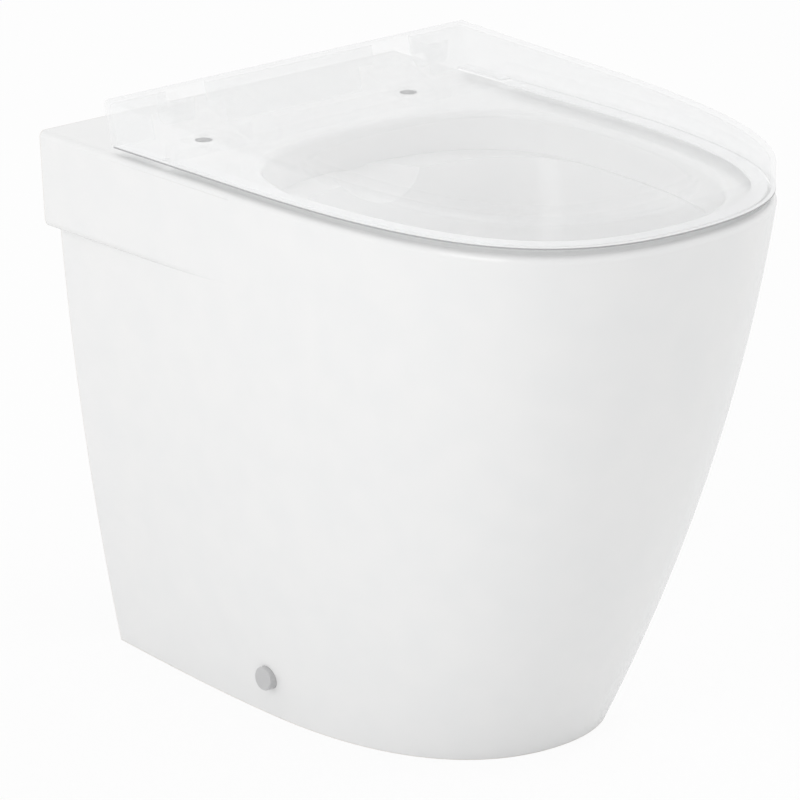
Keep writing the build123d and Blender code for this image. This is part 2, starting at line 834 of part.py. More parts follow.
for name, piece in paired_pieces.items():
    for ending, shape in (("right", piece.part),
                          ("left", mirror(piece.part, about=Plane.YZ))):
        shape.label = f"{name}_{ending}"
        export_step(shape, f"parts/{name}_{ending}.step")
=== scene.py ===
"""Raised-height toilet pan with a see-through seat and cover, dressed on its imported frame.

Lengths are metres. +Y points to the wall, +Z is up, and the origin lies on the floor
under the middle of the pan.
"""

import math

import bmesh
import bpy
from bpy.props import FloatProperty, FloatVectorProperty, IntProperty, PointerProperty
from mathutils import Matrix, Vector
from mathutils.geometry import convex_hull_2d


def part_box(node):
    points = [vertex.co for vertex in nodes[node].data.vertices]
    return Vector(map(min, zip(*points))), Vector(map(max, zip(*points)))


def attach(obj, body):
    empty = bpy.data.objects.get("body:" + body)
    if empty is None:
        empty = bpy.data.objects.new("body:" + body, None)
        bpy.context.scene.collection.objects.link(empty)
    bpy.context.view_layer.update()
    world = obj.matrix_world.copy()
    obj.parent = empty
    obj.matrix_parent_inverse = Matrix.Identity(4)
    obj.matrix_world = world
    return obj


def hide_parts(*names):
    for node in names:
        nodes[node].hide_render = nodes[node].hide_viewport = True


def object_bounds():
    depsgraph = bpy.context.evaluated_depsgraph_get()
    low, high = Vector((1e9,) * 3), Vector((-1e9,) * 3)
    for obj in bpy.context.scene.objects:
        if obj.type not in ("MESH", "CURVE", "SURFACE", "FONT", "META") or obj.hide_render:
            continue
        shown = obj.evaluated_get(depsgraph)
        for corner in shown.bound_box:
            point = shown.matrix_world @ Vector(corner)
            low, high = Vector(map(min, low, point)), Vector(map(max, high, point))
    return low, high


bl_info = {
    "name": "Raised Height Toilet Pan",
    "version": (1, 0, 0),
    "blender": (4, 5, 0),
    "location": "3D View > Sidebar > Toilet Pan",
    "description": "Glazes the china pan, dresses its see-through seat and sets the studio",
    "category": "Object",
}

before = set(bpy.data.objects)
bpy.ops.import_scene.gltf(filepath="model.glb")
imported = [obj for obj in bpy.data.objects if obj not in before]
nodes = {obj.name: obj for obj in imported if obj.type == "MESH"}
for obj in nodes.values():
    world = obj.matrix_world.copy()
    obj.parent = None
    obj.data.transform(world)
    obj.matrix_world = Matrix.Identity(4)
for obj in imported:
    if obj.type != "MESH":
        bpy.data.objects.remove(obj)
cad_low, cad_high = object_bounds()
endings = ("left", "right")
china_nodes = [name for name in nodes if name.startswith("pan_")]
millimetre = 0.001
deck_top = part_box("pan_body")[1].z

# Lips along the lower edges of the ring and the cover, in metres
lip_clearance = 0.0001
cover_lip_width = 0.0034
cover_lip_end = 0.178
cover_flange_start = 0.1245
ring_lip_from_back = 0.069
outline_spacing = 0.003

# Head of a hinge stud, and the dark lining of its hole that is painted shade, in metres
stud_head_height = 0.0035
stud_head_crown = 0.0015
lining_radius = 0.0069
lining_wall = 0.0006
lining_below_deck = 0.0003

# Lift of the see-through rubber feet off the deck, and depth of the bare clay, in metres
foot_lift = 0.00006
clay_edge = 0.0006

# See-through surfaces that one ray may cross
clear_surfaces = 48

# Floor: half its width in metres, and the share of white that the camera sees on it
floor_half_width = 6
floor_white_share = 0.9


# Settings that a user would change
class ChinaSettings(bpy.types.PropertyGroup):
    """Colour and surface of the china."""

    glaze_colour: FloatVectorProperty(
        name="Glaze", description="Colour of the glaze", subtype="COLOR",
        default=(0.86, 0.86, 0.858), min=0, max=1)
    pooled_colour: FloatVectorProperty(
        name="Thick glaze", description="Colour where the glaze is thicker", subtype="COLOR",
        default=(0.845, 0.848, 0.848), min=0, max=1)
    bare_colour: FloatVectorProperty(
        name="Bare clay", description="Colour of the unglazed back and foot", subtype="COLOR",
        default=(0.80, 0.775, 0.735), min=0, max=1)
    glaze_roughness: FloatProperty(
        name="Glaze roughness", description="Roughness of the glaze", subtype="FACTOR",
        default=0.12, min=0, max=1)
    ripple_size: FloatProperty(
        name="Ripple size", description="Width of the slow ripples in the glaze",
        subtype="DISTANCE", unit="LENGTH", default=0.03, min=0.001)
    ripple_height: FloatProperty(
        name="Ripple height", description="Height of the slow ripples in the glaze",
        subtype="DISTANCE", unit="LENGTH", default=0.00004, min=0)


class SeatSettings(bpy.types.PropertyGroup):
    """Colour and opacity of the seat, the cover and their hinge pieces."""

    plastic_colour: FloatVectorProperty(
        name="Plastic", description="Colour of the seat and the cover", subtype="COLOR",
        default=(0.91, 0.915, 0.92), min=0, max=1)
    cover_opacity: FloatProperty(
        name="Cover opacity", description="Share of light that one surface of the cover stops",
        subtype="FACTOR", default=0.25, min=0, max=1)
    ring_opacity: FloatProperty(
        name="Ring opacity", description="Share of light that one surface of the ring stops",
        subtype="FACTOR", default=0.045, min=0, max=1)
    hinge_opacity: FloatProperty(
        name="Hinge opacity", description="Share of light that a hinge piece's surface stops",
        subtype="FACTOR", default=0.025, min=0, max=1)
    plastic_roughness: FloatProperty(
        name="Plastic roughness", description="Roughness of the moulded plastic",
        subtype="FACTOR", default=0.2, min=0, max=1)
    # Dark grey painted on the outer and lower faces of the cover's lip, as painted shade in
    # the gap under the cover
    lip_edge_shade_colour: FloatVectorProperty(
        name="Edge", description="Colour of the outer and lower edge of the cover's lip",
        subtype="COLOR", default=(0.27, 0.27, 0.275), min=0, max=1)
    lip_height: FloatProperty(
        name="Lip height", description="Height of the solid lip along the lower edges",
        subtype="DISTANCE", unit="LENGTH", default=0.0012, min=0.0005)
    lip_width: FloatProperty(
        name="Lip width", description="Width of the solid lip under the ring",
        subtype="DISTANCE", unit="LENGTH", default=0.012, min=0.004)


class FixingSettings(bpy.types.PropertyGroup):
    """Colours and thread sizes of the hinge and side fixings."""

    steel_colour: FloatVectorProperty(
        name="Steel", description="Colour of the studs, screws and washers", subtype="COLOR",
        default=(0.66, 0.665, 0.67), min=0, max=1)
    cap_colour: FloatVectorProperty(
        name="Cap", description="Colour of the side caps", subtype="COLOR",
        default=(0.56, 0.56, 0.565), min=0, max=1)
    rubber_colour: FloatVectorProperty(
        name="Rubber", description="Colour of the pads, bushes and gaskets", subtype="COLOR",
        default=(0.78, 0.78, 0.77), min=0, max=1)
    # Dark grey of the cone bushes, also used on the hole linings as painted shade
    bush_and_hole_shade_colour: FloatVectorProperty(
        name="Bush", description="Colour of the cone bushes in the hinge holes",
        subtype="COLOR", default=(0.2, 0.2, 0.2), min=0, max=1)
    nut_colour: FloatVectorProperty(
        name="Nut", description="Colour of the wing nuts", subtype="COLOR",
        default=(0.86, 0.86, 0.85), min=0, max=1)
    bracket_colour: FloatVectorProperty(
        name="Floor bracket", description="Colour of the sleeves and floor brackets",
        subtype="COLOR", default=(0.82, 0.82, 0.81), min=0, max=1)
    stud_pitch: FloatProperty(
        name="Stud pitch", description="Height of one turn of the stud's thread",
        subtype="DISTANCE", unit="LENGTH", default=0.00125, min=0.0005)
    stud_radius: FloatProperty(
        name="Stud radius", description="Radius over the stud's thread", subtype="DISTANCE",
        unit="LENGTH", default=0.004, min=0.001)
    stud_thread_depth: FloatProperty(
        name="Stud thread depth", description="Depth of the stud's thread",
        subtype="DISTANCE", unit="LENGTH", default=0.00062, min=0.0001)
    thread_steps: IntProperty(
        name="Thread steps", description="Points in one turn of a thread", default=14, min=6)


class StageSettings(bpy.types.PropertyGroup):
    """Camera, floor and light."""

    azimuth: FloatProperty(
        name="Azimuth", description="Camera's direction round the pan", subtype="ANGLE",
        default=math.radians(-41.26))
    elevation: FloatProperty(
        name="Elevation", description="Camera's angle above the floor", subtype="ANGLE",
        default=math.radians(18.549))
    distance: FloatProperty(
        name="Distance", description="From the camera to the point it aims at",
        subtype="DISTANCE", unit="LENGTH", default=4.16596, min=0.5)
    aim_height: FloatProperty(
        name="Aim height", description="Height of the middle of the view",
        subtype="DISTANCE", unit="LENGTH", default=0.2)
    aim_right: FloatProperty(
        name="Aim right", description="How far the view is moved to the right",
        subtype="DISTANCE", unit="LENGTH", default=-0.03715)
    aim_up: FloatProperty(
        name="Aim up", description="How far the view is moved up its own upright",
        subtype="DISTANCE", unit="LENGTH", default=0.03993)
    lens: FloatProperty(
        name="Lens", description="Focal length for a 36 mm sensor", subtype="DISTANCE_CAMERA",
        default=248.08, min=10)
    room_light: FloatProperty(
        name="Room light", description="Strength of the even light from all sides",
        default=0.985, min=0)
    front_shade: FloatProperty(
        name="Front shade", description="How much weaker the even light is from the front",
        default=0.5)
    shade_direction: FloatVectorProperty(
        name="Shade direction", description="Where the even light is weakest",
        subtype="DIRECTION", default=(0, -1, 0.1))
    window_light: FloatProperty(
        name="Window light", description="How much stronger the even light is from one side",
        default=0.84, min=0)
    top_shade: FloatProperty(
        name="Top shade", description="How much weaker the even light is from above",
        default=0.28)
    window_direction: FloatVectorProperty(
        name="Window direction", description="Where the even light is strongest",
        subtype="DIRECTION", default=(0.9, -0.4, 0.1))
    side_light: FloatProperty(
        name="Side light", description="Power of the large soft lamp", subtype="POWER",
        unit="POWER", default=22, min=0)
    floor_colour: FloatVectorProperty(
        name="Floor", description="Colour of the floor", subtype="COLOR",
        default=(0.9, 0.9, 0.9), min=0, max=1)


# Materials
def new_material(name):
    """New material with its node tree and its shader."""
    material = bpy.data.materials.new(name)
    material.use_nodes = True
    return material, material.node_tree, material.node_tree.nodes["Principled BSDF"]


def object_place(tree, stretch=(1, 1, 1)):
    """Socket with the point on the object, stretched along each axis."""
    place = tree.nodes.new("ShaderNodeTexCoord")
    mapping = tree.nodes.new("ShaderNodeMapping")
    mapping.inputs["Scale"].default_value = stretch
    tree.links.new(place.outputs["Object"], mapping.inputs["Vector"])
    return mapping.outputs["Vector"]


def noise(tree, size, detail=2, stretch=(1, 1, 1)):
    """Socket with a noise whose blotches are about size metres wide."""
    texture = tree.nodes.new("ShaderNodeTexNoise")
    texture.inputs["Scale"].default_value = 1 / size
    texture.inputs["Detail"].default_value = detail
    tree.links.new(object_place(tree, stretch), texture.inputs["Vector"])
    return texture.outputs["Fac"]


def ranged(tree, value, low, high):
    """Socket that takes the middle of a noise to the range low to high."""
    node = tree.nodes.new("ShaderNodeMapRange")
    node.inputs["From Min"].default_value = 0.3
    node.inputs["From Max"].default_value = 0.7
    node.inputs["To Min"].default_value = low
    node.inputs["To Max"].default_value = high
    tree.links.new(value, node.inputs["Value"])
    return node.outputs["Result"]


def calculated(tree, operation, first, second):
    """Socket with a sum on a socket and a number or two sockets."""
    node = tree.nodes.new("ShaderNodeMath")
    node.operation = operation
    tree.links.new(first, node.inputs[0])
    if isinstance(second, (int, float)):
        node.inputs[1].default_value = second
    else:
        tree.links.new(second, node.inputs[1])
    return node.outputs["Value"]


def mixed_colour(tree, share, first, second):
    """Socket with a colour between two colours or sockets."""
    node = tree.nodes.new("ShaderNodeMix")
    node.data_type = "RGBA"
    tree.links.new(share, node.inputs["Factor"])
    for socket, colour in ((node.inputs[6], first), (node.inputs[7], second)):
        if isinstance(colour, bpy.types.NodeSocket):
            tree.links.new(colour, socket)
        else:
            socket.default_value = (*colour, 1)
    return node.outputs[2]


def mixed_value(tree, share, first, second):
    """Socket with a number between two sockets or numbers."""
    node = tree.nodes.new("ShaderNodeMix")
    tree.links.new(share, node.inputs["Factor"])
    for socket, value in ((node.inputs[2], first), (node.inputs[3], second)):
        if isinstance(value, bpy.types.NodeSocket):
            tree.links.new(value, socket)
        else:
            socket.default_value = value
    return node.outputs[0]


def add_bump(tree, shader, height, depth):
    """Bumps of a real depth, in metres, on a shader."""
    bump = tree.nodes.new("ShaderNodeBump")
    bump.inputs["Distance"].default_value = depth
    bump.inputs["Strength"].default_value = 1
    tree.links.new(height, bump.inputs["Height"])
    tree.links.new(bump.outputs["Normal"], shader.inputs["Normal"])


def glazed_china(china):
    """White glaze with slow ripples, over bare clay at the wall face and under the foot."""
    material, tree, shader = new_material("glazed_china")
    ripple = noise(tree, china.ripple_size, detail=1)
    fine = noise(tree, 0.004, detail=3)
    place = tree.nodes.new("ShaderNodeSeparateXYZ")
    tree.links.new(object_place(tree), place.inputs["Vector"])
    at_wall = calculated(tree, "GREATER_THAN", place.outputs["Y"],
                         cad_high.y - clay_edge)
    at_floor = calculated(tree, "LESS_THAN", place.outputs["Z"], clay_edge)
    bare = calculated(tree, "MAXIMUM", at_wall, at_floor)
    glaze = mixed_colour(tree, ranged(tree, ripple, 0, 1), china.glaze_colour,
                         china.pooled_colour)
    clay = mixed_colour(tree, ranged(tree, fine, 0, 1), china.bare_colour,
                        [0.93 * c for c in china.bare_colour])
    tree.links.new(mixed_colour(tree, bare, glaze, clay), shader.inputs["Base Color"])
    shine = ranged(tree, ripple, 0.8 * china.glaze_roughness, 1.3 * china.glaze_roughness)
    tree.links.new(mixed_value(tree, bare, shine, 0.85), shader.inputs["Roughness"])
    grain = calculated(tree, "MULTIPLY", fine, bare)
    height = calculated(tree, "ADD", ripple, grain)
    add_bump(tree, shader, height, china.ripple_height)
    return material


def see_through_plastic(name, seat, opacity):
    """Moulded plastic drawn see-through, with the faint flow marks of moulding."""
    material, tree, shader = new_material(name)
    flow = noise(tree, 0.02, detail=2, stretch=(1, 0.25, 1))
    colour = mixed_colour(tree, ranged(tree, flow, 0, 1), seat.plastic_colour,
                          [0.985 * c for c in seat.plastic_colour])
    tree.links.new(colour, shader.inputs["Base Color"])
    tree.links.new(ranged(tree, flow, 0.9 * seat.plastic_roughness,
                          1.15 * seat.plastic_roughness), shader.inputs["Roughness"])
    shader.inputs["Alpha"].default_value = opacity
    return material


def moulded_plastic(name, colour, roughness):
    """Solid moulded plastic with a fine grain."""
    material, tree, shader = new_material(name)
    grain = noise(tree, 0.0006, detail=2)
    shade = noise(tree, 0.012, detail=1)
    tint = mixed_colour(tree, ranged(tree, shade, 0, 1), colour, [0.96 * c for c in colour])
    tree.links.new(tint, shader.inputs["Base Color"])
    tree.links.new(ranged(tree, shade, 0.9 * roughness, 1.1 * roughness),
                   shader.inputs["Roughness"])
    add_bump(tree, shader, grain, 0.00002)
    return material


def turned_steel(name, colour, along):
    """Steel with fine marks drawn round or along the piece."""
    material, tree, shader = new_material(name)
    stretch = [1.0 if axis == along else 0.06 for axis in "XYZ"]
    marks = noise(tree, 0.0005, detail=2, stretch=stretch)
    tint = mixed_colour(tree, ranged(tree, marks, 0, 1), colour, [0.86 * c for c in colour])
    tree.links.new(tint, shader.inputs["Base Color"])
    tree.links.new(ranged(tree, marks, 0.22, 0.42), shader.inputs["Roughness"])
    shader.inputs["Metallic"].default_value = 1
    add_bump(tree, shader, marks, 0.00001)
    return material


def soft_rubber(colour, name="soft_rubber", opacity=1):
    """Matt pale rubber with a dusty grain."""
    material, tree, shader = new_material(name)
    grain = noise(tree, 0.0009, detail=3)
    tint = mixed_colour(tree, ranged(tree, grain, 0, 1), colour, [0.9 * c for c in colour])
    tree.links.new(tint, shader.inputs["Base Color"])
    tree.links.new(ranged(tree, grain, 0.6, 0.78), shader.inputs["Roughness"])
    add_bump(tree, shader, grain, 0.00003)
    shader.inputs["Alpha"].default_value = opacity
    return material


# Meshes
def paint(node, material):
    """Gives a CAD node one material."""
    slots = nodes[node].data.materials
    slots.clear()
    slots.append(material)


def paint_clear(node, material):
    """Gives a CAD node a see-through material and lets the light through it."""
    paint(node, material)
    let_light_through(nodes[node])


def new_piece(name, mesh, material, body):
    """Object made of a mesh that already lies in its place, riding on a body."""
    piece = bpy.data.objects.new(name, mesh)
    bpy.context.scene.collection.objects.link(piece)
    if not mesh.materials:
        mesh.materials.append(material)
    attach(piece, body)
    return piece


def let_light_through(piece):
    """Keeps a see-through piece from darkening what lies behind it."""
    piece.visible_shadow = False
    piece.visible_diffuse = False


def raised_copy(node, name, material, body):
    """See-through copy of a rubber node whose foot stands just clear of the deck."""
    mesh = nodes[node].data.copy()
    mesh.name = name
    mesh.materials.clear()
    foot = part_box(node)[0].z
    for vert in mesh.vertices:
        if vert.co.z < foot + 0.01 * millimetre:
            vert.co.z += foot_lift
    piece = new_piece(name, mesh, material, body)
    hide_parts(node)
    let_light_through(piece)


def turned_mesh(name, profile, base, axis, steps=32):
    """Solid of revolution from (radius, distance) pairs along an axis from a base point."""
    shape = bmesh.new()
    turn = Vector((0, 0, 1)).rotation_difference(Vector(axis)).to_matrix().to_4x4()
    place = Matrix.Translation(base) @ turn
    rings = []
    for radius, distance in profile:
        if radius == 0:
            rings.append([shape.verts.new((0, 0, distance))])
            continue
        rings.append([
            shape.verts.new((radius * math.cos(math.tau * n / steps),
                             radius * math.sin(math.tau * n / steps), distance))
            for n in range(steps)])
    for lower, upper in zip(rings, rings[1:]):
        for n in range(steps):
            corners = [lower[n % len(lower)], lower[(n + 1) % len(lower)],
                       upper[(n + 1) % len(upper)], upper[n % len(upper)]]
            shape.faces.new(list(dict.fromkeys(corners)))
    bmesh.ops.remove_doubles(shape, verts=shape.verts, dist=0.001 * millimetre)
    bmesh.ops.transform(shape, matrix=place, verts=shape.verts)
    bmesh.ops.recalc_face_normals(shape, faces=shape.faces)
    mesh = bpy.data.meshes.new(name)
    shape.to_mesh(mesh)
    shape.free()
    for face in mesh.polygons:
        face.use_smooth = len(face.vertices) == 4
    return mesh


def threaded_shaft_tree(material):
    """Geometry Nodes that stand a threaded shaft on the origin, along Z."""
    tree = bpy.data.node_groups.new("threaded_shaft", "GeometryNodeTree")
    face = tree.interface
    face.new_socket(name="Geometry", in_out="OUTPUT", socket_type="NodeSocketGeometry")
    sockets = {
        name: face.new_socket(name=name, in_out="INPUT", socket_type=kind)
        for name, kind in (
            ("Crest radius", "NodeSocketFloat"), ("Core radius", "NodeSocketFloat"),
            ("Pitch", "NodeSocketFloat"), ("Length", "NodeSocketFloat"),
            ("Steps", "NodeSocketInt"))}
    inputs = tree.nodes.new("NodeGroupInput").outputs
    outputs = tree.nodes.new("NodeGroupOutput").inputs

    def node(kind, **links):
        made = tree.nodes.new(kind)
        for name, value in links.items():
            socket = made.inputs[name.replace("_", " ")]
            if isinstance(value, bpy.types.NodeSocket):
                tree.links.new(value, socket)
            else:
                socket.default_value = value
        return made

    def sum_of(operation, first, second):
        return calculated(tree, operation, first, second)

    depth = sum_of("SUBTRACT", inputs["Crest radius"], inputs["Core radius"])
    ridge_radius = sum_of("MULTIPLY", depth, 0.8)
    helix_radius = sum_of("SUBTRACT", inputs["Crest radius"], ridge_radius)
    run = sum_of("SUBTRACT", inputs["Length"], inputs["Pitch"])
    turns = sum_of("DIVIDE", run, inputs["Pitch"])
    helix = node("GeometryNodeCurveSpiral", Resolution=inputs["Steps"], Rotations=turns,
                 Start_Radius=helix_radius, End_Radius=helix_radius, Height=run)
    upright = node("GeometryNodeSetCurveNormal", Curve=helix.outputs["Curve"])
    upright.mode = "Z_UP"
    ridge = node("GeometryNodeCurvePrimitiveCircle", Resolution=3, Radius=ridge_radius)
    wound = node("GeometryNodeCurveToMesh", Curve=upright.outputs["Curve"],
                 Profile_Curve=ridge.outputs["Curve"], Fill_Caps=True)
    half_pitch = node("ShaderNodeCombineXYZ", Z=sum_of("MULTIPLY", inputs["Pitch"], 0.5))
    thread = node("GeometryNodeTransform", Geometry=wound.outputs["Mesh"],
                  Translation=half_pitch.outputs["Vector"])
    bar = node("GeometryNodeMeshCylinder", Vertices=32, Radius=inputs["Core radius"],
               Depth=inputs["Length"])
    half_length = node("ShaderNodeCombineXYZ", Z=sum_of("MULTIPLY", inputs["Length"], 0.5))
    core = node("GeometryNodeTransform", Geometry=bar.outputs["Mesh"],
                Translation=half_length.outputs["Vector"])
    joined = tree.nodes.new("GeometryNodeJoinGeometry")
    for part in (thread, core):
        tree.links.new(part.outputs["Geometry"], joined.inputs["Geometry"])
    plain = node("GeometryNodeRealizeInstances", Geometry=joined.outputs["Geometry"])
    painted = node("GeometryNodeSetMaterial", Geometry=plain.outputs["Geometry"])
    painted.inputs["Material"].default_value = material
    tree.links.new(painted.outputs["Geometry"], outputs["Geometry"])
    return tree, {name: socket.identifier for name, socket in sockets.items()}


def threaded_shaft(name, material, place, crest, core, pitch, length, steps):
    """Mesh of a threaded shaft that stands at place, a matrix that turns Z along it."""
    tree, identifiers = threaded_shaft_tree(material)
    holder = bpy.data.objects.new(name, bpy.data.meshes.new(name))
    bpy.context.scene.collection.objects.link(holder)
    modifier = holder.modifiers.new("thread", "NODES")
    modifier.node_group = tree
    for key, value in (("Crest radius", crest), ("Core radius", core), ("Pitch", pitch),
                       ("Length", length), ("Steps", steps)):
        modifier[identifiers[key]] = value
    graph = bpy.context.evaluated_depsgraph_get()
    mesh = bpy.data.meshes.new_from_object(holder.evaluated_get(graph), depsgraph=graph)
    holder.modifiers.remove(modifier)
    bpy.data.objects.remove(holder)
    bpy.data.node_groups.remove(tree)
    mesh.name = name
    mesh.transform(place)
    return mesh


def outline_at(node, level):
    """Outline round a CAD node at a level, from its rear left corner past the nose."""
    shape = bmesh.new()
    shape.from_mesh(nodes[node].data)
    bmesh.ops.bisect_plane(
        shape, geom=shape.verts[:] + shape.edges[:] + shape.faces[:],
        plane_co=(0, 0, level), plane_no=(0, 0, 1), clear_inner=True, clear_outer=True)
    cut = [vert.co.xy.copy() for vert in shape.verts]
    shape.free()
    hull = [cut[n] for n in convex_hull_2d(cut)]
    start = min(range(len(hull)), key=lambda n: hull[n].x - hull[n].y)
    return evenly(hull[start:] + hull[:start + 1], outline_spacing)


def evenly(points, step):
    """Points about step apart along a line of points."""
    spread, carried = [points[0]], 0.0
    for start, end in zip(points, points[1:]):
        run = (end - start).length
        at = step - carried
        while at <= run:
            spread.append(start.lerp(end, at / run))
            at += step
        carried = (carried + run) % step
    return spread


def edge_strip(shape, points, near, far, low, high, outer=0):
    """Adds a flat closed strip that lies between two distances inside a line of points.

    Its outer and lower faces take the material slot outer, which on the cover's lip holds
    painted shade.
    """
    rings = []
    for n, point in enumerate(points):
        along = points[min(n + 1, len(points) - 1)] - points[max(n - 1, 0)]
        inward = Vector((-along.y, along.x)).normalized()
        edge, back = point + inward * near, point + inward * far
        rings.append([shape.verts.new((*edge, low)), shape.verts.new((*edge, high)),
                      shape.verts.new((*back, high)), shape.verts.new((*back, low))])
    for first, second in zip(rings, rings[1:]):
        for n in range(4):
            corners = (first[n], first[(n + 1) % 4], second[(n + 1) % 4], second[n])
            shape.faces.new(corners).material_index = outer if n in (0, 3) else 0
    shape.faces.new(rings[0])
    shape.faces.new(reversed(rings[-1]))


def finished_mesh(name, shape, smooth=False):
    """Mesh of a bmesh with its faces outward."""
    bmesh.ops.recalc_face_normals(shape, faces=shape.faces)
    mesh = bpy.data.meshes.new(name)
    shape.to_mesh(mesh)
    shape.free()
    for face in mesh.polygons:
        face.use_smooth = smooth
    return mesh


def add_stud(ending, fixings, steel, clear):
    """Threaded shaft of a hinge stud up to its bush, then a see-through neck and head."""
    low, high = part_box(f"hinge_stud_{ending}")
    middle = (low + high) / 2
    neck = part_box(f"cone_bush_{ending}")[1].z
    foot = Matrix.Translation((middle.x, middle.y, low.z))
    shaft = threaded_shaft(
        f"stud_{ending}", steel, foot, fixings.stud_radius,
        fixings.stud_radius - fixings.stud_thread_depth, fixings.stud_pitch,
        neck - 0.1 * millimetre - low.z, fixings.thread_steps)
    piece = new_piece(f"stud_{ending}", shaft, steel, "pan")
    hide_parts(f"hinge_stud_{ending}")
    head_radius = (high.x - low.x) / 2
    under_head = high.z - stud_head_height
    profile = [(0, neck), (fixings.stud_radius, neck),
               (fixings.stud_radius, under_head), (head_radius, under_head),
               (head_radius, high.z - stud_head_crown)]
    for step in range(1, 6):
        turn = step / 6 * math.pi / 2
        profile.append((head_radius - stud_head_crown + stud_head_crown * math.cos(turn),
                        high.z - stud_head_crown + stud_head_crown * math.sin(turn)))
    profile += [(head_radius - stud_head_crown, high.z), (0, high.z)]
    head = turned_mesh(f"stud_head_{ending}", profile, (middle.x, middle.y, 0), (0, 0, 1))
    head_piece = new_piece(f"stud_head_{ending}", head, clear, "pan")
    let_light_through(head_piece)


def line_hole(ending, rubber):
    """Dark lining of a hinge hole, from its bush up to just below the deck, as painted shade
    in the hole.
    """
    low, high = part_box(f"hinge_stud_{ending}")
    middle = (low + high) / 2
    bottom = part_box(f"cone_bush_{ending}")[1].z
    top = deck_top - lining_below_deck
    inner = lining_radius - lining_wall
    profile = [(inner, bottom), (lining_radius, bottom), (lining_radius, top), (inner, top),
               (inner, bottom)]
    sleeve = turned_mesh(f"hole_shade_sleeve_{ending}", profile, (middle.x, middle.y, 0), (0, 0, 1))
    new_piece(f"hole_shade_sleeve_{ending}", sleeve, rubber, "pan")


def add_lips(seat):
    """Solid lips inside the lowest part of the ring and of the cover, the cover's lip with
    painted shade on its outer and lower faces.
    """
    plain = moulded_plastic("edge_plastic", seat.plastic_colour, seat.plastic_roughness)
    # Dark grey material: painted shade on the cover lip's outer and lower faces, deepening the
    # gap line under the cover
    painted_shade_plastic = moulded_plastic("painted_lip_shade", seat.lip_edge_shade_colour, 0.5)
    cover_low, cover_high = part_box("seat_cover")
    low = cover_low.z + lip_clearance
    high = low + seat.lip_height
    level = low + 0.5 * millimetre
    shape = bmesh.new()
    line = [point for point in outline_at("seat_ring", level)
            if point.y < cover_high.y - ring_lip_from_back]
    edge_strip(shape, line, lip_clearance, seat.lip_width, low, high)
    ring_mesh = finished_mesh("ring_lip", shape)
    new_piece("ring_lip", ring_mesh, plain, "seat")
    shape = bmesh.new()
    line = [point for point in outline_at("seat_cover", level) if point.y < cover_lip_end]
    edge_strip(shape, line, lip_clearance, cover_lip_width, low, high, outer=1)
    for side in (-1, 1):
        flange = [point for point in line
                  if point.y > cover_flange_start and point.x * side > 0]
        edge_strip(shape, flange, cover_lip_width, seat.lip_width, low, high)
    cover_mesh = finished_mesh("cover_lip", shape)
    cover_mesh.materials.append(plain)
    cover_mesh.materials.append(painted_shade_plastic)
    new_piece("cover_lip", cover_mesh, plain, "cover")


# Stage
def make_camera(stage):
    """Camera at the photograph's angle."""
    turn, tilt = stage.azimuth, stage.elevation
    back = Vector((math.sin(turn) * math.cos(tilt), -math.cos(turn) * math.cos(tilt),
                   math.sin(tilt)))
    right = Vector((math.cos(turn), math.sin(turn), 0))
    up = back.cross(right)
    aim = Vector((0, 0, stage.aim_height)) + right * stage.aim_right + up * stage.aim_up
    data = bpy.data.cameras.new("camera")
    data.lens = stage.lens
    data.sensor_width = 36
    camera = bpy.data.objects.new("camera", data)
    camera.location = aim + back * stage.distance
    camera.rotation_euler = (math.pi / 2 - tilt, 0, turn)
    bpy.context.scene.collection.objects.link(camera)
    bpy.context.scene.camera = camera


def make_world(stage):
    """Light all round, seen as white by the camera and in reflections.

    It is weaker from the front and from above, and stronger from one side.
    """
    world = bpy.data.worlds.new("room")
    world.use_nodes = True
    tree = world.node_tree
    room = tree.nodes["Background"]
    room.inputs["Color"].default_value = (1, 1, 1, 1)
    sky = tree.nodes.new("ShaderNodeTexCoord")
    strength = stage.room_light
    for direction, change in ((stage.shade_direction, -stage.front_shade),
                              (stage.window_direction, stage.window_light),
                              ((0, 0, 1), -stage.top_shade)):
        facing = tree.nodes.new("ShaderNodeVectorMath")
        facing.operation = "DOT_PRODUCT"
        tree.links.new(sky.outputs["Generated"], facing.inputs[0])
        facing.inputs[1].default_value = Vector(direction).normalized()
        toward = calculated(tree, "MAXIMUM", facing.outputs["Value"], 0.0)
        lobe = calculated(tree, "MULTIPLY", toward, toward)
        part = calculated(tree, "MULTIPLY", lobe, change)
        strength = calculated(tree, "ADD", part, strength)
    path = tree.nodes.new("ShaderNodeLightPath")
    seen = calculated(tree, "MAXIMUM", path.outputs["Is Camera Ray"],
                      path.outputs["Is Transmission Ray"])
    seen = calculated(tree, "MAXIMUM", seen, path.outputs["Is Glossy Ray"])
    tree.links.new(mixed_value(tree, seen, strength, 1.0), room.inputs["Strength"])
    bpy.context.scene.world = world


def make_lamp(name, place, aim, size, power):
    """Large soft lamp that aims at a point."""
    data = bpy.data.lights.new(name, "AREA")
    data.shape = "DISK"
    data.size = size
    data.energy = power
    lamp = bpy.data.objects.new(name, data)
    lamp.location = place
    direction = Vector(aim) - Vector(place)
    lamp.rotation_euler = direction.to_track_quat("-Z", "Y").to_euler()
    bpy.context.scene.collection.objects.link(lamp)


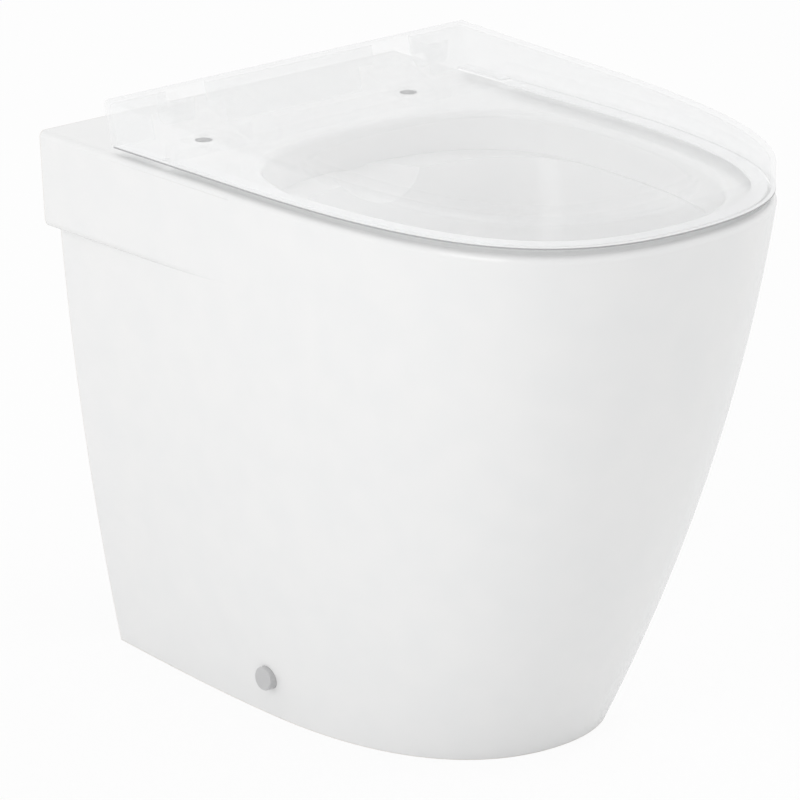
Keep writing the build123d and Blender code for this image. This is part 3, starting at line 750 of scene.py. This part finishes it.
def make_floor(stage):
    """Plain pale floor that keeps the pan's shadow and is white to the camera."""
    mesh = bpy.data.meshes.new("floor")
    half = floor_half_width
    corners = [(-half, -half, 0), (half, -half, 0), (half, half, 0), (-half, half, 0)]
    mesh.from_pydata(corners, [], [(0, 1, 2, 3)])
    material, tree, shader = new_material("pale_floor")
    shader.inputs["Base Color"].default_value = (*stage.floor_colour, 1)
    shader.inputs["Roughness"].default_value = 0.9
    shader.inputs["Specular IOR Level"].default_value = 0
    white = tree.nodes.new("ShaderNodeEmission")
    path = tree.nodes.new("ShaderNodeLightPath")
    blend = tree.nodes.new("ShaderNodeMixShader")
    seen = calculated(tree, "MULTIPLY", path.outputs["Is Camera Ray"],
                      floor_white_share)
    tree.links.new(seen, blend.inputs["Fac"])
    tree.links.new(shader.outputs["BSDF"], blend.inputs[1])
    tree.links.new(white.outputs["Emission"], blend.inputs[2])
    tree.links.new(blend.outputs["Shader"],
                   tree.nodes["Material Output"].inputs["Surface"])
    mesh.materials.append(material)
    floor = bpy.data.objects.new("floor", mesh)
    bpy.context.scene.collection.objects.link(floor)


# Operators
class TOILET_PAN_OT_china(bpy.types.Operator):
    """Glaze the pan"""

    bl_idname = "toilet_pan.china"
    bl_label = "Glaze the Pan"

    def execute(self, context):
        china = glazed_china(context.scene.toilet_pan_china)
        for node in china_nodes:
            paint(node, china)
        return {"FINISHED"}


class TOILET_PAN_OT_seat(bpy.types.Operator):
    """Dress the seat ring, the cover, their pads and their dampers"""

    bl_idname = "toilet_pan.seat"
    bl_label = "Dress the Seat and Cover"

    def execute(self, context):
        seat = context.scene.toilet_pan_seat
        fixings = context.scene.toilet_pan_fixings
        cover = see_through_plastic("cover_plastic", seat, seat.cover_opacity)
        ring = see_through_plastic("ring_plastic", seat, seat.ring_opacity)
        damper = see_through_plastic("damper_plastic", seat, seat.hinge_opacity)
        rubber = soft_rubber(fixings.rubber_colour, "clear_rubber", seat.hinge_opacity)
        paint_clear("seat_cover", cover)
        paint_clear("seat_ring", ring)
        paint_clear("seat_damper", damper)
        paint_clear("cover_damper", damper)
        raised_copy("seat_buffers", "seat_pads", rubber, "seat")
        paint_clear("cover_buffers", rubber)
        add_lips(seat)
        return {"FINISHED"}


class TOILET_PAN_OT_hinges(bpy.types.Operator):
    """Dress the hinge brackets, spindles, studs and nuts"""

    bl_idname = "toilet_pan.hinges"
    bl_label = "Dress the Hinges"

    def execute(self, context):
        seat = context.scene.toilet_pan_seat
        fixings = context.scene.toilet_pan_fixings
        clear = see_through_plastic("hinge_plastic", seat, seat.hinge_opacity)
        pad = soft_rubber(fixings.rubber_colour, "gasket_rubber", seat.hinge_opacity)
        # Dark rubber for the cone bushes, and painted shade on the linings of the hinge holes
        rubber = soft_rubber(fixings.bush_and_hole_shade_colour, "dark_rubber_and_hole_shade")
        steel = turned_steel("turned_steel", fixings.steel_colour, "Z")
        nut = moulded_plastic("nut_plastic", fixings.nut_colour, 0.4)
        for ending in endings:
            paint_clear(f"hinge_bracket_{ending}", clear)
            raised_copy(f"hinge_gasket_{ending}", f"gasket_{ending}", pad, "pan")
            paint_clear(f"hinge_spindle_{ending}", clear)
            add_stud(ending, fixings, steel, clear)
            line_hole(ending, rubber)
            paint(f"cone_bush_{ending}", rubber)
            paint(f"hinge_washer_{ending}", steel)
            paint(f"wing_nut_{ending}", nut)
        return {"FINISHED"}


class TOILET_PAN_OT_side_fixings(bpy.types.Operator):
    """Dress the side screws, their caps and the floor brackets"""

    bl_idname = "toilet_pan.side_fixings"
    bl_label = "Dress the Side Fixings"

    def execute(self, context):
        fixings = context.scene.toilet_pan_fixings
        cap = moulded_plastic("cap_plastic", fixings.cap_colour, 0.3)
        pale = moulded_plastic("bracket_plastic", fixings.bracket_colour, 0.5)
        steel = turned_steel("screw_steel", fixings.steel_colour, "X")
        for ending in endings:
            paint(f"side_sleeve_{ending}", pale)
            paint(f"side_screw_{ending}", steel)
            paint(f"side_cap_{ending}", cap)
            paint(f"floor_bracket_{ending}", pale)
        return {"FINISHED"}


class TOILET_PAN_OT_stage(bpy.types.Operator):
    """Set the camera, the floor and the light"""

    bl_idname = "toilet_pan.stage"
    bl_label = "Set the Stage"

    def execute(self, context):
        stage = context.scene.toilet_pan_stage
        make_camera(stage)
        make_world(stage)
        make_floor(stage)
        make_lamp("side_lamp", place=(-3.05, -0.6, 1.6), aim=(0, 0, 0.25), size=2.0,
                  power=stage.side_light)
        context.scene.view_settings.view_transform = "Standard"
        context.scene.cycles.transparent_max_bounces = clear_surfaces
        return {"FINISHED"}


class TOILET_PAN_PT_panel(bpy.types.Panel):
    """Settings and steps of the toilet pan"""

    bl_label = "Toilet Pan"
    bl_idname = "TOILET_PAN_PT_panel"
    bl_space_type = "VIEW_3D"
    bl_region_type = "UI"
    bl_category = "Toilet Pan"

    def draw(self, context):
        for operator, group in steps:
            column = self.layout.column()
            settings = getattr(context.scene, group)
            for name in settings.bl_rna.properties.keys():
                if name not in ("rna_type", "name"):
                    column.prop(settings, name)
            column.operator(operator.bl_idname)


# Operators in order, each with the settings it reads first
steps = (
    (TOILET_PAN_OT_china, "toilet_pan_china"),
    (TOILET_PAN_OT_seat, "toilet_pan_seat"),
    (TOILET_PAN_OT_hinges, "toilet_pan_fixings"),
    (TOILET_PAN_OT_side_fixings, "toilet_pan_fixings"),
    (TOILET_PAN_OT_stage, "toilet_pan_stage"),
)
setting_groups = {
    "toilet_pan_china": ChinaSettings,
    "toilet_pan_seat": SeatSettings,
    "toilet_pan_fixings": FixingSettings,
    "toilet_pan_stage": StageSettings,
}


def register():
    """Adds the settings, the operators and the panel."""
    for name, group in setting_groups.items():
        bpy.utils.register_class(group)
        setattr(bpy.types.Scene, name, PointerProperty(type=group))
    for operator, group in steps:
        bpy.utils.register_class(operator)
    bpy.utils.register_class(TOILET_PAN_PT_panel)


def unregister():
    """Takes away what register adds."""
    bpy.utils.unregister_class(TOILET_PAN_PT_panel)
    for operator, group in reversed(steps):
        bpy.utils.unregister_class(operator)
    for name, group in setting_groups.items():
        delattr(bpy.types.Scene, name)
        bpy.utils.unregister_class(group)


def main():
    """Builds the whole scene."""
    register()
    for operator, group in steps:
        family, action = operator.bl_idname.split(".")
        getattr(getattr(bpy.ops, family), action)()


if __name__ == "__main__":
    main()
